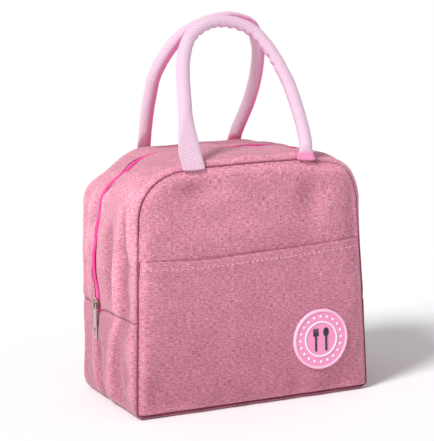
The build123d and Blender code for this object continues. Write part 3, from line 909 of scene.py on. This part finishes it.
def sweep(bm, places, section, count):
    """Draws a ring of count points along the places: section(turn, run) gives each point's two offsets."""
    turn_of = bm.verts.layers.float.get("turn") or bm.verts.layers.float.new("turn")
    run_of = bm.verts.layers.float.get("run") or bm.verts.layers.float.new("run")
    ring = bmesh.ops.create_circle(bm, cap_ends=True, segments=count, radius=1)["verts"]
    for i, vert in enumerate(ring):
        vert[turn_of] = math.tau * i / count
    faces = [f for f in bm.faces if all(v in ring for v in f.verts)]
    edges = list({e for v in ring for e in v.link_edges})
    for n, (centre, out, run) in enumerate(places):
        before, after = places[max(n - 1, 0)][0], places[min(n + 1, len(places) - 1)][0]
        tangent = (after - before).normalized()
        across = out.cross(tangent).normalized()
        out = tangent.cross(across)
        if n:
            drawn = bmesh.ops.extrude_edge_only(bm, edges=edges)["geom"]
            ring = [g for g in drawn if isinstance(g, bmesh.types.BMVert)]
            edges = [g for g in drawn if isinstance(g, bmesh.types.BMEdge) and g.verts[0] in ring and g.verts[1] in ring]
        for vert in ring:
            a, b = section(vert[turn_of], run)
            vert.co = centre + across * a + out * b
            vert[run_of] = run
    bmesh.ops.contextual_create(bm, geom=edges)
    return faces


for name, side, half in (("front", -1, "front_half"), ("rear", 1, "rear_half")):

    def under_zip(region, c):
        offset = (c.y - zip_y) * side
        return region == GUSSET and c.z > seam_z and 0 < offset < tape_width

    tape = cut_piece(f"{name}_half_tape", under_zip, lambda flat: 0.75 * MM, 0.5 * MM, tape_pink)
    finish_piece(tape)
    hang(tape, half, f"{name}_zip_tape")

    def tooth(turn, run):
        rib = 1 + 0.16 * math.cos(math.tau * run / tooth_pitch)
        return math.cos(turn) * coil_radius * rib, math.sin(turn) * coil_radius * rib * 0.62

    coil = bmesh.new()
    beside = [p + Vector((0, side * coil_radius * 0.95, 0)) - o * coil_sunk for p, o in zip(zip_line, zip_out)]
    sweep(coil, along_line(beside, zip_out, tooth_pitch / 3), tooth, 8)
    coil = new_piece(f"{name}_half_coil", coil, nylon_pink)
    hang(coil, half, f"{name}_zip_coil")

for name, at in (("left_zip_end", 0), ("right_zip_end", -1)):
    stop = bmesh.new()
    low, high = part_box(name)
    size = Matrix.Diagonal((2.4 * MM, 7 * MM, 3.2 * MM, 1))
    bmesh.ops.create_cube(stop, size=1, matrix=Matrix.Translation(zip_line[at] - zip_out[at] * 0.9 * MM - Vector((0, 0, 1.2 * MM))) @ size)
    bmesh.ops.bevel(stop, geom=stop.edges, offset=0.7 * MM, segments=3, profile=0.5, affect="EDGES", material=-1)
    stop = new_piece(f"{name}_stop", stop, nylon_pink)
    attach(stop, "lower_body")
    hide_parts(name)

# ---------------------------------------------------------------------------------------------------------------
# Slider and pull: die-cast and plated, a little scratched. The pull hangs down over the side seam.
# ---------------------------------------------------------------------------------------------------------------
nickel = plain_material("brushed_nickel", (0.60, 0.55, 0.50), 0.30, metallic=1.0, grain=0.08, grain_size=0.8, mottle=(0.50, 0.46, 0.42))
for name in ("zip_slider", "zip_pull"):
    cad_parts[name].data.materials.clear()
    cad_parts[name].data.materials.append(nickel)

# ---------------------------------------------------------------------------------------------------------------
# Handles: wide twill webbing, folded round a cord, with painted hot-pink bounce light and shade along the
# fold where its edges meet and near the sewn ends. The ends are left flat and sewn into the top seams.
# ---------------------------------------------------------------------------------------------------------------
handle_y, handle_z, handle_lean = 61 * MM, 201.6 * MM, math.radians(26.75)
roll_radius, web_thickness = 5.7 * MM, 2.6 * MM
front_line = [
    (-50, -3), (-50, 4), (-50.5, 12), (-49.6, 22), (-48.5, 33.5), (-45.7, 55), (-42.3, 77), (-38.6, 92), (-32, 106),
    (-22.8, 115), (-10.6, 121), (0, 122.4), (11, 121), (19.4, 118), (27.3, 113), (33.8, 105), (39.7, 94), (44.8, 80),
    (49, 65), (51.2, 48), (52.4, 30.6), (52.2, 14.4), (50.4, 4), (49.6, -3),
]
rear_line = [
    (-43.6, -3), (-44, 5), (-44.5, 13.7), (-45.4, 27), (-46, 41), (-45.8, 55), (-45.3, 70), (-42.4, 82), (-38, 93), (-33, 102),
    (-27, 109.5), (-18, 116), (-7, 121), (5, 124), (14, 124.4), (24, 122), (32, 118.5), (38, 113), (43.5, 102), (47, 91),
    (49, 75), (49.4, 59), (47.8, 40), (45, 26), (42.4, 14), (41.2, 5), (40.8, -3),
]


def smooth_line(points, spacing):
    """Points on a smooth curve through the given ones, six to each span; spacing is not used."""
    fine = []
    for n in range(len(points) - 1):
        a, b, c, d = (Vector(points[min(max(n + k, 0), len(points) - 1)]) for k in (-1, 0, 1, 2))
        for i in range(6):
            t = i / 6
            fine.append(0.5 * (2 * b + (c - a) * t + (2 * a - 5 * b + 4 * c - d) * t**2 + (3 * b - 3 * c + d - a) * t**3))
    fine.append(Vector(points[-1]))
    return fine


def webbing_material(name, face, shade, back):
    """Herringbone twill on the strap's own UVs, with painted hot-pink bounce light and shade in the colour back where
    the attribute back is 1.
    """
    material = bpy.data.materials.new(name)
    material.use_nodes = True
    nodes, links = material.node_tree.nodes, material.node_tree.links
    shader = nodes["Principled BSDF"]
    shader.inputs["Roughness"].default_value = 0.9
    shader.inputs["Sheen Weight"].default_value = 0.2
    shader.inputs["Specular IOR Level"].default_value = 0.2

    def maths(kind, a, b=None):
        node = nodes.new("ShaderNodeMath")
        node.operation = kind
        for socket, value in zip(node.inputs, (a, b)):
            if isinstance(value, (int, float)):
                socket.default_value = value
            elif value is not None:
                links.new(value, socket)
        return node.outputs[0]

    uv = nodes.new("ShaderNodeUVMap")
    uv.uv_map = "pattern"
    parts = nodes.new("ShaderNodeSeparateXYZ")
    links.new(uv.outputs["UV"], parts.inputs[0])
    zigzag = maths("PINGPONG", parts.outputs[0], 5.5 * MM)
    slope = maths("ADD", parts.outputs[1], maths("MULTIPLY", zigzag, 0.85))
    ridge = maths("SINE", maths("MULTIPLY", slope, math.tau / (1.9 * MM)))
    ridge = maths("ADD", maths("MULTIPLY", ridge, 0.5), 0.5)
    rib = maths("SINE", maths("MULTIPLY", parts.outputs[0], math.tau / (0.8 * MM)))
    worn = nodes.new("ShaderNodeTexNoise")
    worn.inputs["Scale"].default_value = 1 / (1.1 * MM)
    links.new(uv.outputs["UV"], worn.inputs["Vector"])
    ridge = maths("MULTIPLY", ridge, maths("MULTIPLY", worn.outputs["Fac"], 1.9))
    height = maths("ADD", ridge, maths("MULTIPLY", rib, 0.25))
    tone = nodes.new("ShaderNodeMix")
    tone.data_type = "RGBA"
    links.new(maths("POWER", ridge, 0.8), tone.inputs["Factor"])
    tone.inputs["A"].default_value, tone.inputs["B"].default_value = (*shade, 1), (*face, 1)
    # painted hot-pink bounce light and shade, mixed in where the attribute back is high
    behind = nodes.new("ShaderNodeAttribute")
    behind.attribute_name = "back"
    colour = nodes.new("ShaderNodeMix")
    colour.data_type = "RGBA"
    links.new(behind.outputs["Fac"], colour.inputs["Factor"])
    links.new(tone.outputs["Result"], colour.inputs["A"])
    colour.inputs["B"].default_value = (*back, 1)
    links.new(colour.outputs["Result"], shader.inputs["Base Color"])
    bump = nodes.new("ShaderNodeBump")
    bump.inputs["Strength"].default_value = 0.7
    bump.inputs["Distance"].default_value = 0.35 * MM
    links.new(height, bump.inputs["Height"])
    links.new(bump.outputs["Normal"], shader.inputs["Normal"])
    return material


# the last colour is the painted hot-pink bounce light and shade in the roll's fold and near the sewn ends
webbing = webbing_material("pale_twill_webbing", (0.93, 0.74, 0.84), (0.70, 0.38, 0.56), (0.95, 0.26, 0.52))


def make_handle(name, side, line, half, ends):
    """One handle, from sewn end to sewn end. side is -1 at the front; ends is how its two sewn ends are shaped."""
    plane_out = Vector((0, side * math.cos(handle_lean), math.sin(handle_lean)))
    leg_up = Vector((0, -side * math.sin(handle_lean), math.cos(handle_lean)))
    pivot = Vector((0, side * handle_y, handle_z))
    fine = smooth_line(line, 1)
    places = along_line([pivot + Vector((p.x * MM, 0, 0)) + leg_up * p.y * MM for p in fine], [plane_out] * len(fine), 1.4 * MM)
    length = places[-1][2]
    mesh = bmesh.new()
    fold_turn = {}
    for centre, out, run in places:
        u, v = centre.x / MM, (centre - pivot).dot(leg_up) / MM
        fold_turn[run] = (u, v)
    inward = Vector((0.5, -0.87, 0)) if side > 0 else Vector((0.0, 0.5, 0))
    middle = Vector((0, side * 34 * MM, handle_z + 60 * MM))
    shades = {}

    def section(turn, run):
        u, v = fold_turn[run]
        root, flat_to, rolled_from = ends[0] if run < length / 2 else ends[1]
        from_end = min(run, length - run) / MM
        flat = 1 - step(flat_to, rolled_from, from_end)
        notch = 0.75 * step(flat_to, rolled_from, from_end)
        a = root / 2 * MM * flat + roll_radius * (1 - flat)
        b = web_thickness / 2 * flat**0.5 + roll_radius * (1 - flat**0.5)
        power = 1 - 0.6 * flat
        x, y = math.cos(turn), math.sin(turn)
        x, y = math.copysign(abs(x) ** power, x), math.copysign(abs(y) ** power, y)
        fold = fold_angle(run)
        near = math.exp(-((math.remainder(turn - fold, math.tau) / 0.42) ** 2))
        wide = math.exp(-((math.remainder(turn - fold, math.tau) / 0.8) ** 2))
        pull_in = 1 - 0.34 * notch * near
        pucker = (math.cos(math.tau * run / (8.2 * MM)) * 0.5 + 0.5) ** 1.6
        arch_top = step(96, 112, v) if side < 0 else 0.35 * step(96, 112, v)
        notch_leg = bell(v, 88, 9) * (u > 0) * (side < 0)
        pull_in -= 0.42 * (arch_top + notch_leg) * pucker * wide
        swell = 1 + 0.035 * noise.noise(Vector((run / MM / 9, side * 5, 0)))
        twist = 0.9 * MM * bell(from_end, 16, 5)
        return x * a * pull_in * swell, y * b * pull_in * swell + twist * x * (0.3 if side < 0 else 0.1)

    def fold_angle(run):
        """Where round the roll the webbing's two edges meet."""
        n = min(range(len(places)), key=lambda k: abs(places[k][2] - run))
        centre, out, _ = places[n]
        tangent = (places[min(n + 1, len(places) - 1)][0] - places[max(n - 1, 0)][0]).normalized()
        across = out.cross(tangent).normalized()
        out = tangent.cross(across)
        target = inward + (middle - centre).normalized() * (1.3 if side < 0 else 0.0)
        return math.atan2(target.dot(out), target.dot(across))

    sweep(mesh, places, section, 32)
    turn_of, run_of = mesh.verts.layers.float["turn"], mesh.verts.layers.float["run"]
    pattern = mesh.loops.layers.uv.new("pattern")
    back = mesh.verts.layers.float.new("back")
    for vert in mesh.verts:
        u, v = fold_turn[min(fold_turn, key=lambda r: abs(r - vert[run_of]))]
        from_end = min(vert[run_of], length - vert[run_of]) / MM
        apart = math.remainder(vert[turn_of] - fold_angle(vert[run_of]), math.tau)
        root, flat_to, rolled_from = ends[0] if vert[run_of] < length / 2 else ends[1]
        # painted hot-pink bounce light and shade along the fold where the edges meet, fainter on the front handle, and
        # near the sewn ends
        near = math.exp(-((apart / 0.62) ** 4)) * step(flat_to - 3, flat_to + 8, from_end)
        near *= 1.0 if side > 0 else 0.25 + 0.25 * (u < 0) + 0.3 * step(100, 114, v)
        painted_pink_reach = 5 if side < 0 else 10
        painted_end_pink = (1 - step(painted_pink_reach, painted_pink_reach + 3, from_end)) * (0.85 if u > 0 else 0.12)
        vert[back] = max(near, painted_end_pink)
    for face in mesh.faces:
        turns = [loop.vert[turn_of] for loop in face.loops]
        for loop, turn in zip(face.loops, turns):
            if max(turns) - min(turns) > math.pi and turn < math.pi:
                turn += math.tau
            loop[pattern].uv = (turn * roll_radius, loop.vert[run_of])
    handle = new_piece(f"{name}_webbing", mesh, webbing)
    soft = handle.modifiers.new("soft", "SUBSURF")
    soft.levels = soft.render_levels = 1
    finish_piece(handle)
    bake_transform(handle, half, name, pivot - leg_up * 2 * MM, pivot + leg_up * 12 * MM)
    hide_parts(name, f"{name}_ends")


# each end's width, how far up it stays flat, and where it has become a roll
make_handle("front_handle", -1, front_line, "front_half", ((19, 13, 52), (15.5, 2.5, 11)))
make_handle("rear_handle", 1, rear_line, "rear_half", ((12, 5, 22), (13.5, 2.5, 13)))

# ---------------------------------------------------------------------------------------------------------------
# Badge: a moulded soft disc sewn on the pocket, with a raised pale rim, a white ring, a band of white dots and a
# fork and spoon.
# ---------------------------------------------------------------------------------------------------------------
badge_x = (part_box("badge_base")[0].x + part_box("badge_base")[1].x) / 2
badge_z = (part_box("badge_base")[0].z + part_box("badge_base")[1].z) / 2
badge_radius, badge_face = 25 * MM, 1.3 * MM
badge_pink = plain_material("bubblegum_rubber", (0.93, 0.33, 0.58), 0.45, grain=0.05, grain_size=0.6, mottle=(0.90, 0.30, 0.54))
badge_pale = plain_material("pale_pink_rubber", (0.96, 0.56, 0.74), 0.45, grain=0.05, grain_size=0.6)
badge_white = plain_material("white_rubber", (0.93, 0.88, 0.91), 0.5, grain=0.05, grain_size=0.6)
badge_charcoal = plain_material("charcoal_rubber", (0.022, 0.020, 0.024), 0.4, grain=0.05, grain_size=0.6)


def turned(profile, steps=72):
    """A disc or ring from its profile of (radius, height), closed where it meets the axis."""
    bm = bmesh.new()
    verts = [bmesh.ops.create_vert(bm, co=(r * MM, 0, h * MM))["vert"][0] for r, h in profile]
    for a, b in zip(verts, verts[1:]):
        bmesh.ops.contextual_create(bm, geom=[a, b])
    bmesh.ops.spin(bm, geom=bm.verts[:] + bm.edges[:], cent=(0, 0, 0), axis=(0, 0, 1), angle=math.tau, steps=steps, use_merge=True)
    bmesh.ops.remove_doubles(bm, verts=bm.verts, dist=0.001 * MM)
    return bm


def lay_on_pocket(name, bm, material):
    """Bends a flat shape, drawn face up round the badge's centre, onto the pocket."""
    for vert in bm.verts:
        vert.co = on_pocket(badge_x + vert.co.x, badge_z + vert.co.y, vert.co.z)
    obj = new_piece(name, bm, material)
    hang(obj, "front_half")
    return obj


disc = [(0, 1.3), (4, 1.3), (8, 1.3), (12, 1.3), (16, 1.3), (20, 1.3), (22.6, 1.3), (24.4, 1.3), (25, 0.7), (25, -0.5), (20, -0.5), (10, -0.5), (0, -0.5)]
rim = [(22.7, 0.9), (22.7, 1.7), (23.0, 2.0), (24.2, 2.0), (24.8, 1.6), (25.05, 0.9), (25.05, -0.3), (22.7, 0.9)]
ring = [(13.6, 1.0), (13.6, 1.65), (13.8, 1.85), (14.7, 1.85), (14.9, 1.65), (14.9, 1.0), (13.6, 1.0)]
badge = lay_on_pocket("badge_disc", turned(disc), badge_pink)
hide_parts("badge_base")
lay_on_pocket("badge_rim", turned(rim), badge_pale)
white = turned(ring)
dot_count, dot_circle = 20, 18.9 * MM
for i in range(dot_count):
    angle = math.tau * i / dot_count
    where = Matrix.Translation((dot_circle * math.cos(angle), dot_circle * math.sin(angle), badge_face))
    bmesh.ops.create_uvsphere(white, u_segments=12, v_segments=6, radius=1, matrix=where @ Matrix.Diagonal((1.15 * MM, 1.15 * MM, 0.5 * MM, 1)))
rings = lay_on_pocket("badge_ring_and_dots", white, badge_white)
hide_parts("badge_rings")

cutlery = bmesh.new()


def pad(x, z, width, length):
    """A raised rounded bar of the cutlery, centred at x and z."""
    made = bmesh.ops.create_cube(cutlery, size=1, matrix=Matrix.Translation((x * MM, z * MM, badge_face)) @ Matrix.Diagonal((width * MM, length * MM, 1.1 * MM, 1)))
    edges = list({e for v in made["verts"] for e in v.link_edges})
    bmesh.ops.bevel(cutlery, geom=edges, offset=0.3 * MM, segments=2, profile=0.5, affect="EDGES", material=-1)


pad(-4.6, -3.4, 1.7, 13)
pad(-4.6, 4.0, 4.8, 2.6)
for tine in (-1.75, 0, 1.75):
    pad(-4.6 + tine, 6.8, 1.1, 4.6)
pad(4.6, -3.4, 1.7, 13)
bowl = Matrix.Translation((4.6 * MM, 5.4 * MM, badge_face)) @ Matrix.Diagonal((2.6 * MM, 3.9 * MM, 0.6 * MM, 1))
bmesh.ops.create_uvsphere(cutlery, u_segments=24, v_segments=12, radius=1, matrix=bowl)
motif = lay_on_pocket("badge_cutlery", cutlery, badge_charcoal)
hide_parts("badge_motif")
